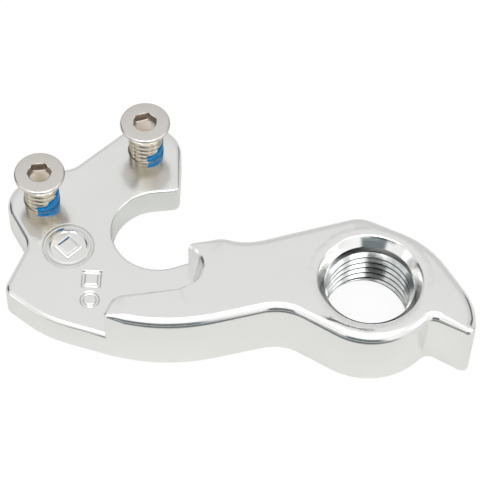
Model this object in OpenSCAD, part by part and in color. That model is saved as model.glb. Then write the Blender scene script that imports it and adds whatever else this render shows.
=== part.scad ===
// Replaceable rear derailleur hanger of forged and machined aluminium, with its two fixing screws.
// The row's origin is on the derailleur hole's axis at the flat back face, +Z goes out of the hole's
// countersunk mouth and +X runs from the hole away from the wheel's axle.

/* [Main sizes] */

// distance from the derailleur hole to the wheel's axle, along the arm
hole_to_axle_x = 23.6; // [22.6:0.1:24.6]
// distance from the derailleur hole to the wheel's axle, across the arm
hole_to_axle_y = 8.35; // [8.1:0.05:8.6]
// thickness of the thin plate that bolts to the frame
plate_t = 4.0; // [3.6:0.1:4.4]
// thickness of the arm that carries the derailleur
arm_t = 8.2; // [7.6:0.1:8.8]

/* [Edges] */

// rounding of the arm's front and rear edges
arm_edge_r = 1.15; // [0.9:0.05:1.2]
// rounding of the plate's outer edges
plate_edge_r = 0.7; // [0.5:0.05:0.9]
// rounding of the edge around the axle opening
opening_edge_r = 0.3; // [0.2:0.05:0.4]
// rounding of the step from the arm down to the plate
step_edge_r = 0.25; // [0.15:0.05:0.4]
// small chamfer all round the flat back face
back_chamfer = 0.2; // [0.1:0.05:0.3]

/* [Derailleur hole] */

// diameter of the derailleur hole at its thread's root, for an M10 x 1 bolt
bore_d = 10.0; // [9.6:0.1:10.4]
// height of the hole's thread
thread_depth = 0.45; // [0.35:0.05:0.5]
// pitch of the hole's thread
thread_pitch = 1.0; // [0.9:0.05:1.1]
// turns of the hole's thread, each one drawn as a ring
thread_turns = 6; // [4:1:6]
// diameter of the countersink at the arm's face
countersink_d = 11.6; // [11.2:0.1:12.0]
// depth of the countersink
countersink_depth = 1.1; // [0.9:0.1:1.4]
// rounding of the countersink's rim
rim_r = 0.4; // [0.25:0.05:0.5]
// chamfer at the hole's back end
bore_back_chamfer = 0.3; // [0.2:0.05:0.5]
// radius of the boss around the hole, on its front side
boss_r = 7.85; // [7.6:0.05:8.0]

/* [Arm outline] */

// left end of the arm's tongue on the plate, from the axle
tongue_end_x = -5.3; // [-5.6:0.1:-5]
// front corner of the tongue, from the axle across the arm
tongue_front_y = -14.3; // [-14.4:0.05:-14.2]
// radius of the tongue's front corner
tongue_front_r = 0.5; // [0.4:0.05:0.6]
// lowest place of the tongue's front bulge, from the axle along the arm
belly_x = 1.9; // [1.4:0.1:2.4]
// lowest place of the tongue's front bulge, from the axle across the arm
belly_y = -15.65; // [-15.85:0.05:-15.45]
// radius of the tongue's front bulge
belly_r = 21.0; // [19:0.5:23]
// middle of the front waist, along the arm
front_waist_x = -9.3; // [-9.8:0.1:-8.8]
// middle of the front waist, across the arm
front_waist_y = -3.8; // [-4.0:0.05:-3.5]
// radius of the front waist
front_waist_r = 5.0; // [4:0.25:5.5]
// inner corner of the limit hook, along the arm
notch_x = 6.75; // [6.6:0.05:7.0]
// inner corner of the limit hook, across the arm
notch_y = -4.4; // [-4.55:0.05:-4.2]
// radius of the hook's inner corner
notch_r = 1.2; // [1.1:0.05:1.4]
// tip of the limit hook, along the arm
hook_tip_x = 11.15; // [11.0:0.05:11.3]
// tip of the limit hook, across the arm
hook_tip_y = -6.85; // [-7.1:0.05:-6.6]
// radius of the hook's tip
hook_tip_r = 0.75; // [0.72:0.01:0.85]
// outer end of the arm, along the arm
arm_end_x = 11.8; // [11.6:0.05:12.0]
// outer end of the arm, across the arm
arm_end_y = -2.9; // [-3.2:0.1:-2.6]
// radius of the outer end
arm_end_r = 7.0; // [6.5:0.25:7.5]
// shoulder beside the hole, along the arm
shoulder_x = 6.65; // [6.4:0.05:6.9]
// shoulder beside the hole, across the arm
shoulder_y = 5.35; // [5.1:0.05:5.6]
// radius of the shoulder
shoulder_r = 11.0; // [10:0.25:12]
// rear hump behind the hole, along the arm
hump_x = -1.0; // [-1.4:0.1:-0.6]
// rear hump behind the hole, across the arm
hump_y = 8.7; // [8.5:0.05:8.9]
// radius of the rear hump
hump_r = 3.6; // [3:0.1:4.2]
// middle of the rear waist, from the axle along the arm
rear_waist_x = 10.35; // [10.05:0.05:10.65]
// middle of the rear waist, from the axle across the arm
rear_waist_y = -3.7; // [-3.85:0.05:-3.55]
// radius of the rear waist
rear_waist_r = 7.25; // [6.5:0.25:8]
// rear bump at the opening's mouth, from the axle along the arm
bump_x = 6.85; // [6.65:0.05:7.05]
// rear bump at the opening's mouth, from the axle across the arm
bump_y = -3.3; // [-3.4:0.05:-3.2]
// radius of the rear bump
bump_r = 3.4; // [3:0.1:3.8]

/* [Step from arm to plate] */

// corner where the arm's rear edge ends at the mouth, from the axle along the arm
horn_x = 3.5; // [3.4:0.05:3.6]
// corner where the arm's rear edge ends at the mouth, from the axle across the arm
horn_y = -4.6; // [-4.7:0.05:-4.5]
// radius of that corner
horn_r = 0.9; // [0.7:0.05:1.1]
// inner corner between the mouth and the step, from the axle along the arm
step_corner_x = 4.25; // [4.15:0.05:4.35]
// inner corner between the mouth and the step, from the axle across the arm
step_corner_y = -10.2; // [-10.3:0.05:-10.1]
// radius of that inner corner
step_corner_r = 1.9; // [1.6:0.1:2.2]
// rear corner of the tongue, from the axle along the arm
tongue_rear_x = -4.3; // [-4.5:0.05:-4.1]
// rear corner of the tongue, from the axle across the arm
tongue_rear_y = -11.55; // [-11.65:0.05:-11.45]
// radius of the tongue's rear corner
tongue_rear_r = 2.0; // [1.6:0.1:2.2]
// middle of the round cut in the step at the mouth, from the axle along the arm
mouth_cut_x = 2.55; // [2.45:0.05:2.65]
// middle of the round cut in the step at the mouth, from the axle across the arm
mouth_cut_y = -7.4; // [-7.5:0.05:-7.3]
// diameter of the round cut at the arm's face
mouth_cut_top_d = 5.35; // [5.2:0.05:5.5]
// diameter of the round cut at the plate's face
mouth_cut_floor_d = 3.75; // [3.5:0.05:4.0]
// chamfer of the round cut's top edge
mouth_cut_chamfer = 0.25; // [0.15:0.05:0.3]

/* [Axle opening] */

// diameter of the opening
opening_d = 10.5; // [10.3:0.1:10.8]
// rise of the opening's upper lip towards the mouth, degrees
upper_lip_rise = 8; // [6:1:10]
// rise of the opening's lower lip towards the mouth, degrees
lower_lip_rise = 22; // [20:0.5:23]
// corner radius at the end of the upper lip
lip_corner_r = 0.9; // [0.7:0.05:1.1]

/* [Plate outline] */

// screw hole of the right ear, from the axle along the arm
right_hole_x = -2.05; // [-2.3:0.05:-1.8]
// screw hole of the right ear, from the axle across the arm
right_hole_y = 11.35; // [11.15:0.05:11.55]
// radius of the right ear's round end
right_ear_r = 4.0; // [3.8:0.05:4.1]
// from the right ear's screw hole to its right side
right_ear_side_x = 4.15; // [4.0:0.05:4.3]
// from the right ear's screw hole to its rear end
right_ear_top_y = 3.6; // [3.45:0.05:3.75]
// screw hole of the left ear, from the axle along the arm
left_hole_x = -13.5; // [-13.7:0.05:-13.3]
// screw hole of the left ear, from the axle across the arm
left_hole_y = 3.85; // [3.65:0.05:4.05]
// radius of the left ear's round end
left_ear_r = 3.6; // [3.4:0.05:3.7]
// from the left ear's screw hole to its left side
left_ear_side_x = 4.5; // [4.35:0.05:4.65]
// from the left ear's screw hole to its rear end
left_ear_top_y = 4.55; // [4.4:0.05:4.7]
// hollow between the two ears, from the axle along the arm
saddle_x = -10.5; // [-10.7:0.05:-10.3]
// radius of the hollow between the two ears
saddle_r = 2.5; // [2:0.1:2.8]
// slope of the edge from the hollow up to the right ear, degrees
saddle_slope = 45; // [44:0.5:47]
// hollow in the plate's left side, from the axle along the arm
left_waist_x = -14.6; // [-14.8:0.05:-14.4]
// hollow in the plate's left side, from the axle across the arm
left_waist_y = -2.4; // [-2.6:0.1:-2.2]
// radius of the hollow in the plate's left side
left_waist_r = 2.8; // [2.4:0.1:3.0]
// front left corner of the plate, from the axle along the arm
toe_x = -16.85; // [-17.0:0.05:-16.7]
// front left corner of the plate, from the axle across the arm
toe_y = -8.7; // [-8.85:0.05:-8.55]
// radius of the plate's front left corner
toe_r = 1.6; // [1.4:0.1:1.8]
// front bulge of the plate, from the axle along the arm
plate_front_x = -12.0; // [-12.2:0.05:-11.8]
// front bulge of the plate, from the axle across the arm
plate_front_y = -12.35; // [-12.45:0.05:-12.25]
// radius of the plate's front bulge
plate_front_r = 14.0; // [12:0.5:15]

/* [Marks] */

// middle of the round sunk mark, from the axle along the arm
mark_x = -10.0; // [-10.2:0.1:-9.8]
// middle of the round sunk mark, from the axle across the arm
mark_y = -2.55; // [-2.75:0.1:-2.35]
// diameter of the round sunk mark
mark_d = 5.9; // [5.6:0.1:6.2]
// width of the groove round the mark
mark_groove_w = 0.45; // [0.4:0.05:0.55]
// width of the raised ring inside the groove
mark_ring_w = 0.35; // [0.3:0.05:0.45]
// side of the plain raised square in the mark
mark_square = 1.9; // [1.6:0.1:2.1]
// depth of the round mark
mark_depth = 0.25; // [0.15:0.05:0.3]
// place of the two small stamps, from the axle along the arm
stamp_x = -7.1; // [-7.3:0.1:-6.9]
// place of the rear stamp, from the axle across the arm
stamp_y = -6.9; // [-7.05:0.05:-6.75]
// distance between the two small stamps
stamp_pitch = 2.7; // [2.5:0.05:2.8]
// outer diameter of the small stamps
stamp_d = 2.2; // [2.0:0.1:2.3]
// line width of the small stamps
stamp_line_w = 0.45; // [0.35:0.05:0.5]
// depth of the small stamps
stamp_depth = 0.18; // [0.12:0.02:0.2]
// lean of the walls of the marks, as width over depth
mark_lean = 0.6; // [0.3:0.1:0.8]

/* [Screws] */

// thread diameter of the two fixing screws
screw_d = 3.9; // [3.7:0.05:4.0]
// length of each screw, with its head
screw_l = 8.0; // [7.4:0.1:8.4]
// diameter of the flat head
head_d = 5.75; // [5.5:0.05:6.0]
// height of the head's straight rim
head_rim_h = 0.5; // [0.4:0.05:0.6]
// height of the head's cone
head_cone_h = 0.9; // [0.7:0.05:1.1]
// chamfer of the head's rim
head_chamfer = 0.12; // [0.08:0.02:0.16]
// chamfer of the screw's end
tip_chamfer = 0.45; // [0.3:0.05:0.6]
// size of the hexagon socket across its flats
socket_af = 2.5; // [2.3:0.05:2.6]
// depth of the hexagon socket's flats
socket_depth = 1.3; // [1.1:0.1:1.5]
// depth of the cone below the socket
socket_cone_h = 0.5; // [0.3:0.05:0.6]
// how far the left screw's head stands above the plate
left_head_rise = 4.95; // [4.7:0.05:5.2]
// how far the right screw's head stands above the plate
right_head_rise = 5.15; // [4.9:0.05:5.4]
// turn of the left screw's socket, degrees
left_socket_turn = 8; // [0:1:59]
// turn of the right screw's socket, degrees
right_socket_turn = 20; // [0:1:59]
// clearance between a screw and the wall of its hole
screw_clearance = 0.03; // [0.02:0.01:0.06]
// chamfer at both ends of the screw holes
hole_chamfer = 0.1; // [0.05:0.05:0.2]

/* [Thread patches] */

// thickness of the blue locking patch on a screw's thread
patch_t = 0.12; // [0.08:0.01:0.16]
// share of the screw's round that a patch covers, degrees
patch_sweep = 150; // [130:5:170]
// middle of the left screw's patch, degrees from +X
left_patch_turn = -40; // [-60:5:0]
// middle of the right screw's patch, degrees from +X
right_patch_turn = -10; // [-60:5:0]
// gap between a patch and the plate's face
patch_gap = 0.05; // [0.03:0.01:0.1]
// length of a patch along its screw
patch_l = 2.7; // [2.4:0.1:2.9]

/* [Hidden] */

alloy = [0.8, 0.8, 0.79];
steel = [0.66, 0.64, 0.6];
blue = [0.05, 0.42, 0.72];
bore_fn = 96;
screw_fn = 64;
small_fn = 48;
// a wall facet turns at most this much and is at most this long
facet_turn = 7;
facet_l = 1.3;
round_steps = 5;
arc_steps = 4;
eps = 0.01;
over = 1;

hole_d = screw_d + 2 * screw_clearance;
// the rounding shares of the arm's edge where it gets tight
hook_edge = 0.6;
bump_edge = 0.8;
tongue_edge = 0.6;
tongue_rear_edge = 0.5;
// the plate's inner end lies this deep inside the arm, seen from the axle
root_x = 7.1;
root_rear_y = -4.95;
root_front_y = -12.85;
root_tongue_x = 1.9;
root_r = 0.4;
lip_overlap = 0.45;
saddle_drop = 0.2;
ear_rear_shift = 0.9;
ear_side_shift = 0.4;
rear_slope_r = 0.85;
dive_x = 0.6;
dive_y = 0.1;
mark_over = 0.1;
half_turn = 180;
// half the angle between the flanks of a metric thread
thread_flank = 30;

function unit(v) = v / norm(v);
function cross_z(a, b) = a.x * b.y - a.y * b.x;
function polar(r, a) = r * [cos(a), sin(a)];
// place where the line through a at angle turn_a meets the line through b at angle turn_b
function meet(a, turn_a, b, turn_b) =
  let (u = polar(1, turn_a), v = polar(1, turn_b))
  a + u * cross_z(b - a, v) / cross_z(u, v);

// An outline is a list of corners [x, y, corner radius, edge radius], counter-clockwise from above.
// Each corner becomes an arc [middle, radius, first angle, sweep, side, edge radius];
// side is 1 where the outline bulges and -1 where it is hollow.
function corner_arc(before, corner, after) =
  let (
    p = [corner[0], corner[1]],
    u = unit([before[0], before[1]] - p),
    v = unit([after[0], after[1]] - p),
    half = acos(u * v) / 2,
    side = cross_z(u, v) < 0 ? 1 : -1,
    middle = p + unit(u + v) * corner[2] / sin(half),
    first = p + u * corner[2] / tan(half) - middle
  )
  [middle, corner[2], atan2(first.y, first.x), side * (180 - 2 * half), side, corner[3]];
function outline_arcs(corners) =
  let (n = len(corners))
  [for (i = [0:n - 1]) corner_arc(corners[(i + n - 1) % n], corners[i], corners[(i + 1) % n])];
function arc_facets(arc) =
  ceil(max(abs(arc[3]) / facet_turn, abs(arc[3]) * PI / 180 * arc[1] / facet_l));
// one level of the edge: every arc is drawn in by inset times its edge radius
function ring(arcs, base_z, inset, rise) = [
  for (arc = arcs)
    let (n = arc_facets(arc), r = arc[1] - arc[4] * inset * arc[5])
    for (i = [0:n])
      let (p = arc[0] + polar(r, arc[2] + arc[3] * i / n))
      [p.x, p.y, base_z + rise * arc[5]]
];
function chamfer_ring(arcs, inset, z) = [
  for (arc = arcs)
    let (n = arc_facets(arc))
    for (i = [0:n])
      let (p = arc[0] + polar(arc[1] - arc[4] * inset, arc[2] + arc[3] * i / n))
      [p.x, p.y, z]
];

// Flat ends are cut into triangles, one ear at a time.
function holds(a, b, c, p) =
  cross_z(b - a, p - a) >= 0 && cross_z(c - b, p - b) >= 0 && cross_z(a - c, p - c) >= 0;
function is_ear(pts, left, i) =
  let (
    n = len(left),
    a = pts[left[(i + n - 1) % n]],
    b = pts[left[i]],
    c = pts[left[(i + 1) % n]]
  )
  cross_z(b - a, c - b) > 0
    && len([for (j = left) if (pts[j] != a && pts[j] != b && pts[j] != c && holds(a, b, c, pts[j])) j]) == 0;
function first_ear(pts, left, i) = i >= len(left) - 1 || is_ear(pts, left, i) ? i : first_ear(pts, left, i + 1);
function ears(pts, left, done) =
  len(left) == 3 ? concat(done, [left]) :
  let (
    n = len(left),
    i = first_ear(pts, left, 0)
  )
  ears(
    pts,
    [for (j = [0:n - 1]) if (j != i) left[j]],
    concat(done, [[left[(i + n - 1) % n], left[i], left[(i + 1) % n]]])
  );

// A flat body on the back face with rounded upper edges and a small chamfer below.
module rounded_slab(corners, thickness) {
  arcs = outline_arcs(corners);
  levels = concat(
    [chamfer_ring(arcs, back_chamfer, 0), chamfer_ring(arcs, 0, back_chamfer)],
    [for (k = [0:round_steps])
      let (turn = 90 * k / round_steps)
      ring(arcs, thickness, 1 - cos(turn), sin(turn) - 1)]
  );
  n = len(levels[0]);
  top = len(levels) - 1;
  flat = function (level) [for (p = level) [p.x, p.y]];
  loop = [for (i = [0:n - 1]) i];
  walls = [
    for (k = [0:top - 1])
      for (i = [0:n - 1])
        let (j = (i + 1) % n)
        each [
          [k * n + i, (k + 1) * n + i, (k + 1) * n + j],
          [k * n + i, (k + 1) * n + j, k * n + j]
        ]
  ];
  bottom_face = ears(flat(levels[0]), loop, []);
  top_face = [for (t = ears(flat(levels[top]), loop, [])) [top * n + t[2], top * n + t[1], top * n + t[0]]];
  polyhedron(points = [for (level = levels) each level], faces = concat(walls, bottom_face, top_face), convexity = 8);
}

// The boss is an arc about the hole, so its corner lies where the two tangents to it meet.
function tangent_turn(p, r, side) = atan2(p.y, p.x) + side * acos(r / norm(p));
boss_from = tangent_turn([front_waist_x, front_waist_y], boss_r, 1);
boss_to = tangent_turn([notch_x, notch_y], boss_r, -1);
boss_corner = polar(boss_r / cos((boss_to - boss_from) / 2), (boss_to + boss_from) / 2);

axle = [-hole_to_axle_x, hole_to_axle_y];
// the plate, the step and the arm's inner end keep their places from the axle
function at_axle(x, y, r, edge_r) = [axle.x + x, axle.y + y, r, edge_r];
tongue_end = axle + [tongue_end_x, tongue_front_y];

arm_corners = [
  at_axle(tongue_end_x, tongue_front_y, tongue_front_r, plate_edge_r * tongue_edge),
  at_axle(belly_x, belly_y, belly_r, arm_edge_r),
  [front_waist_x, front_waist_y, front_waist_r, arm_edge_r],
  [boss_corner.x, boss_corner.y, boss_r, arm_edge_r],
  [notch_x, notch_y, notch_r, arm_edge_r],
  [hook_tip_x, hook_tip_y, hook_tip_r, arm_edge_r * hook_edge],
  [arm_end_x, arm_end_y, arm_end_r, arm_edge_r],
  [shoulder_x, shoulder_y, shoulder_r, arm_edge_r],
  [hump_x, hump_y, hump_r, arm_edge_r],
  at_axle(rear_waist_x, rear_waist_y, rear_waist_r, arm_edge_r),
  at_axle(bump_x, bump_y, bump_r, arm_edge_r * bump_edge),
  at_axle(horn_x, horn_y, horn_r, step_edge_r),
  at_axle(step_corner_x, step_corner_y, step_corner_r, step_edge_r),
  at_axle(tongue_rear_x, tongue_rear_y, tongue_rear_r, tongue_rear_edge)
];

opening_r = opening_d / 2;
right_hole = axle + [right_hole_x, right_hole_y];
left_hole = axle + [left_hole_x, left_hole_y];
// the lips are tangents to the opening's circle
lower_touch = axle + polar(opening_r, lower_lip_rise - 90);
upper_touch = axle + polar(opening_r, upper_lip_rise + 90);
back_touch = axle + polar(opening_r, half_turn);
opening_low = meet(lower_touch, lower_lip_rise, back_touch, 90);
opening_high = meet(upper_touch, upper_lip_rise, back_touch, 90);
lip_root = meet(lower_touch, lower_lip_rise, axle + [horn_x + lip_overlap, 0], 90);
right_ear_top = right_hole + [right_ear_side_x, right_ear_top_y];
lip_end = meet(upper_touch, upper_lip_rise, right_ear_top, 90);
left_ear_rear = left_hole + [-ear_rear_shift, left_ear_top_y];
left_ear_side = left_hole - [left_ear_side_x, ear_side_shift];
saddle = [axle.x + saddle_x, left_ear_rear.y - saddle_drop];
right_ear_rear = meet(saddle, saddle_slope, right_ear_top, 0);

// the plate's front edge dives into the arm at the tongue's front corner
plate_corners = [
  [tongue_end.x + dive_x, tongue_end.y - dive_y, root_r, plate_edge_r],
  [tongue_end.x + root_tongue_x, axle.y + root_front_y, root_r, opening_edge_r],
  at_axle(root_x, root_front_y, root_r, opening_edge_r),
  at_axle(root_x, root_rear_y, root_r, opening_edge_r),
  [lip_root.x, lip_root.y, root_r, opening_edge_r],
  [opening_low.x, opening_low.y, opening_r, opening_edge_r],
  [opening_high.x, opening_high.y, opening_r, opening_edge_r],
  [lip_end.x, lip_end.y, lip_corner_r, opening_edge_r],
  [right_ear_top.x, right_ear_top.y, right_ear_r, plate_edge_r],
  [right_ear_rear.x, right_ear_rear.y, right_ear_r * rear_slope_r, plate_edge_r],
  [saddle.x, saddle.y, saddle_r, plate_edge_r],
  [left_ear_rear.x, left_ear_rear.y, left_ear_r, plate_edge_r],
  [left_ear_side.x, left_ear_side.y, left_ear_r, plate_edge_r],
  at_axle(left_waist_x, left_waist_y, left_waist_r, plate_edge_r),
  at_axle(toe_x, toe_y, toe_r, plate_edge_r),
  at_axle(plate_front_x, plate_front_y, plate_front_r, plate_edge_r)
];

// The derailleur hole: the thread's turns, a plain stretch, the countersink with its rounded rim,
// and a small chamfer at the back.
module derailleur_hole() {
  bore_r = bore_d / 2;
  sink_r = countersink_d / 2;
  slope = atan2(countersink_depth, sink_r - bore_r);
  rim_x = sink_r + rim_r * tan(slope / 2);
  rim = [
    for (k = [0:arc_steps])
      let (turn = slope * (1 - k / arc_steps))
      [rim_x - rim_r * sin(turn), arm_t - rim_r + rim_r * cos(turn)]
  ];
  crest_r = bore_r - thread_depth;
  flank = thread_depth * tan(thread_flank);
  crest = thread_pitch / 4;
  thread = [
    for (k = [0:thread_turns - 1])
      let (z = bore_back_chamfer + k * thread_pitch)
      each concat(
        k == 0 ? [] : [[bore_r, z - flank]],
        [[crest_r, z], [crest_r, z + crest], [bore_r, z + crest + flank]]
      )
  ];
  rotate_extrude($fn = bore_fn)
    polygon(concat(
      [
        [0, arm_t + over],
        [0, -over],
        [crest_r + bore_back_chamfer + over, -over]
      ],
      thread,
      [[bore_r, arm_t - countersink_depth]],
      rim,
      [[rim_x, arm_t + over]]
    ));
}

// The round end of the step beside the opening's mouth, wider at the top.
module mouth_cut() {
  top_r = mouth_cut_top_d / 2;
  translate([axle.x + mouth_cut_x, axle.y + mouth_cut_y, 0])
    rotate_extrude($fn = bore_fn)
      polygon([
        [0, plate_t],
        [mouth_cut_floor_d / 2, plate_t],
        [top_r, arm_t - mouth_cut_chamfer],
        [top_r + mouth_cut_chamfer + over, arm_t + over],
        [0, arm_t + over]
      ]);
}

module screw_hole(place) {
  hole_r = hole_d / 2;
  flare = hole_chamfer + over;
  translate([place.x, place.y, 0])
    rotate_extrude($fn = screw_fn)
      polygon([
        [0, -over],
        [hole_r + flare, -over],
        [hole_r, hole_chamfer],
        [hole_r, plate_t - hole_chamfer],
        [hole_r + flare, plate_t + over],
        [0, plate_t + over]
      ]);
}

// A round or square block between the floor of a mark and just above the plate's face, where its
// radius is r. Its walls lean outwards, or inwards where lean is negative.
module leaning_block(r, lean, depth, below, sides) {
  translate([0, 0, plate_t - depth - below])
    cylinder(
      r1 = r - lean * (depth + below),
      r2 = r + lean * mark_over,
      h = depth + below + mark_over,
      $fn = sides
    );
}

// A sunk disc that leaves a raised ring and a plain raised square.
module round_mark() {
  ring_r = mark_d / 2 - mark_groove_w;
  translate([axle.x + mark_x, axle.y + mark_y, 0]) {
    difference() {
      leaning_block(mark_d / 2, mark_lean, mark_depth, 0, small_fn);
      leaning_block(ring_r, -mark_lean, mark_depth, mark_over, small_fn);
    }
    difference() {
      leaning_block(ring_r - mark_ring_w, mark_lean, mark_depth, 0, small_fn);
      leaning_block(mark_square / sqrt(2), -mark_lean * sqrt(2), mark_depth, mark_over, 4);
    }
  }
}

// Two small plain stamps, a square outline behind a ring.
module small_stamps() {
  inner_r = stamp_d / 2 - stamp_line_w;
  translate([axle.x + stamp_x, axle.y + stamp_y, 0]) {
    rotate([0, 0, 45])
      difference() {
        leaning_block(stamp_d / sqrt(2), mark_lean * sqrt(2), stamp_depth, 0, 4);
        leaning_block(inner_r * sqrt(2), -mark_lean * sqrt(2), stamp_depth, mark_over, 4);
      }
    translate([0, -stamp_pitch, 0])
      difference() {
        leaning_block(stamp_d / 2, mark_lean, stamp_depth, 0, small_fn);
        leaning_block(inner_r, -mark_lean, stamp_depth, mark_over, small_fn);
      }
  }
}

// The plate and the arm grow out of one another, so they are one body before anything is cut.
module blank() {
  resize([0, 0, 0])
    union() {
      rounded_slab(plate_corners, plate_t);
      rounded_slab(arm_corners, arm_t);
    }
}

module hanger() {
  color(alloy)
    difference() {
      blank();
      derailleur_hole();
      mouth_cut();
      screw_hole(left_hole);
      screw_hole(right_hole);
      round_mark();
      small_stamps();
    }
}

// A flat-headed screw with its face at the height rise above the plate.
module screw(place, rise, socket_turn) {
  shaft_r = screw_d / 2;
  head_r = head_d / 2;
  neck_z = -head_rim_h - head_cone_h;
  socket_r = socket_af / 2;
  color(steel)
    translate([place.x, place.y, plate_t + rise])
      difference() {
        rotate_extrude($fn = screw_fn)
          polygon([
            [0, 0],
            [head_r - head_chamfer, 0],
            [head_r, -head_chamfer],
            [head_r, -head_rim_h],
            [shaft_r, neck_z],
            [shaft_r, tip_chamfer - screw_l],
            [shaft_r - tip_chamfer, -screw_l],
            [0, -screw_l]
          ]);
        rotate([0, 0, socket_turn])
          translate([0, 0, -socket_depth])
            cylinder(r = socket_r / cos(30), h = socket_depth + over, $fn = 6);
        translate([0, 0, -socket_depth - socket_cone_h])
          cylinder(r1 = 0, r2 = socket_r * 0.97, h = socket_cone_h + eps, $fn = small_fn);
      }
}

module left_screw() {
  screw(left_hole, left_head_rise, left_socket_turn);
}

module right_screw() {
  screw(right_hole, right_head_rise, right_socket_turn);
}

// The blue patch is a thin shell on one side of the thread, above the plate.
module thread_patch(place, turn) {
  color(blue)
    translate([place.x, place.y, plate_t + patch_gap])
      rotate([0, 0, turn - patch_sweep / 2])
        rotate_extrude(angle = patch_sweep, $fn = screw_fn)
          translate([screw_d / 2, 0])
            square([patch_t, patch_l]);
}

module left_thread_patch() {
  thread_patch(left_hole, left_patch_turn);
}

module right_thread_patch() {
  thread_patch(right_hole, right_patch_turn);
}

hanger();
left_screw();
right_screw();
left_thread_patch();
right_thread_patch();
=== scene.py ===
# %% [markdown]
# # A rear derailleur hanger with its two fixing screws
#
# The hanger is a small forged aluminium part that is screwed to a bicycle's frame. A thin plate with a
# round opening goes around the wheel's axle, and a thicker arm carries the rear derailleur in a threaded
# hole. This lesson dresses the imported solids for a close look: it smooths the shading, cuts the threads,
# adds the blue locking patches and gives each metal its finish.

import math

import bmesh
import bpy
import numpy as np
from mathutils import Matrix, Vector


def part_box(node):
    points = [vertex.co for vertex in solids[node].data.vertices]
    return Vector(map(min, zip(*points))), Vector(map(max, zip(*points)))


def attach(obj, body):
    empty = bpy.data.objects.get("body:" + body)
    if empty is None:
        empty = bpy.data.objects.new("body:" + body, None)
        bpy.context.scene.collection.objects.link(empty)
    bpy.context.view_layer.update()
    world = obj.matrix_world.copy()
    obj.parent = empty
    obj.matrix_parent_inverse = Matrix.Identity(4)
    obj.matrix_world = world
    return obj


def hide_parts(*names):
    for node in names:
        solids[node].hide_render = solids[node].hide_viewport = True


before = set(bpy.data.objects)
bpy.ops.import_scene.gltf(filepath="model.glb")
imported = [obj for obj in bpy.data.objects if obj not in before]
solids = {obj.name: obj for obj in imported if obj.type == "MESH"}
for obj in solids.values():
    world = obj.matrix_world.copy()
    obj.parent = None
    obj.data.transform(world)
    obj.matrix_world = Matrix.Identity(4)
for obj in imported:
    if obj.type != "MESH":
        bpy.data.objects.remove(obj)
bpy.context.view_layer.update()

# %% [markdown]
# ## Sizes
#
# The row frame is in metres, but a part of this size is thought of in millimetres. So every size below is
# written in millimetres and passed through one short function. Where the screws stand is read from their
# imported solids, so the dressed screws follow them.


# %% Millimetres
def mm(value):
    return value / 1000


def in_mm(value):
    return round(1000 * value, 2)


def screw_place(node):
    low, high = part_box(node)
    middle = (low + high) / 2
    return (in_mm(middle.x), in_mm(middle.y)), in_mm(high.z)


for name in sorted(solids):
    low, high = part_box(name)
    print(name, [in_mm(side) for side in high - low], "mm")
LEFT_HOLE, LEFT_HEAD_TOP = screw_place("left_screw")
RIGHT_HOLE, RIGHT_HEAD_TOP = screw_place("right_screw")
print("left screw at", LEFT_HOLE, "with its head's top at", LEFT_HEAD_TOP)
print("right screw at", RIGHT_HOLE, "with its head's top at", RIGHT_HEAD_TOP)

# %% [markdown]
# ## Colours and shader nodes
#
# Colours are written as hex values, the way a paint chart gives them, and turned to linear light once. All
# node trees, for materials and for geometry, are built with one small function: it adds a node, sets its
# options, and fills or links its inputs.


# %% Helpers for colours and nodes
def linear(hex_colour):
    channels = [int(hex_colour[i : i + 2], 16) / 255 for i in (1, 3, 5)]
    return [c / 12.92 if c <= 0.04045 else ((c + 0.055) / 1.055) ** 2.4 for c in channels] + [1.0]


def add_node(tree, kind, inputs=None, **options):
    node = tree.nodes.new(kind)
    for option, value in options.items():
        setattr(node, option, value)
    for socket, value in (inputs or {}).items():
        if isinstance(value, bpy.types.NodeSocket):
            tree.links.new(value, node.inputs[socket])
        else:
            node.inputs[socket].default_value = value
    return node


def new_material(name):
    material = bpy.data.materials.new(name)
    material.use_nodes = True
    material.node_tree.nodes.clear()
    return material, material.node_tree


# a Mix node has one set of sockets for numbers and one for colours, and these pick the right ones
SHARE = 0
NUMBER_A, NUMBER_B = 2, 3
COLOUR_A, COLOUR_B, MIXED_COLOUR = 6, 7, 2
# nearly all values of a noise texture lie between these two
NOISE_LOW, NOISE_HIGH = 0.3, 0.7
# a vector times this one keeps its x and y and loses its z
FLAT = (1, 1, 0)
WHITE = linear("#FFFFFF")
print("white in linear light:", WHITE)

# %% [markdown]
# ## Polished aluminium
#
# The hanger is forged, machined and tumbled until it is bright. Such aluminium is a pale, neutral mirror that
# is slightly soft: broad reflections with blurred edges, and a faint waviness from the forging. A picture of
# such metal could be wrapped around the part, but it would show seams. Noise that is worked out from the
# object's own coordinates has none.
#
# The derailleur hole is cut last, so its countersink is a sharper mirror. A mask by distance from the hole's
# axis tells the two finishes apart.

# %% Forged and tumbled skin
MACHINED_R = 6.0
MACHINED_EDGE = 0.3
MACHINED_ROUGHNESS = 0.13
aluminium, tree = new_material("polished_forged_aluminium")
place = add_node(tree, "ShaderNodeTexCoord").outputs["Object"]
# forging waviness, about 12 mm from crest to crest with finer waves on it
waviness = add_node(tree, "ShaderNodeTexNoise", {"Vector": place, "Scale": 1 / mm(12), "Detail": 3.0})
# tumbling grain; the real one is about 0.05 mm and is drawn at 0.3 mm so that it shows
grain = add_node(tree, "ShaderNodeTexNoise", {"Vector": place, "Scale": 1 / mm(0.3), "Detail": 3.0})
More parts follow.
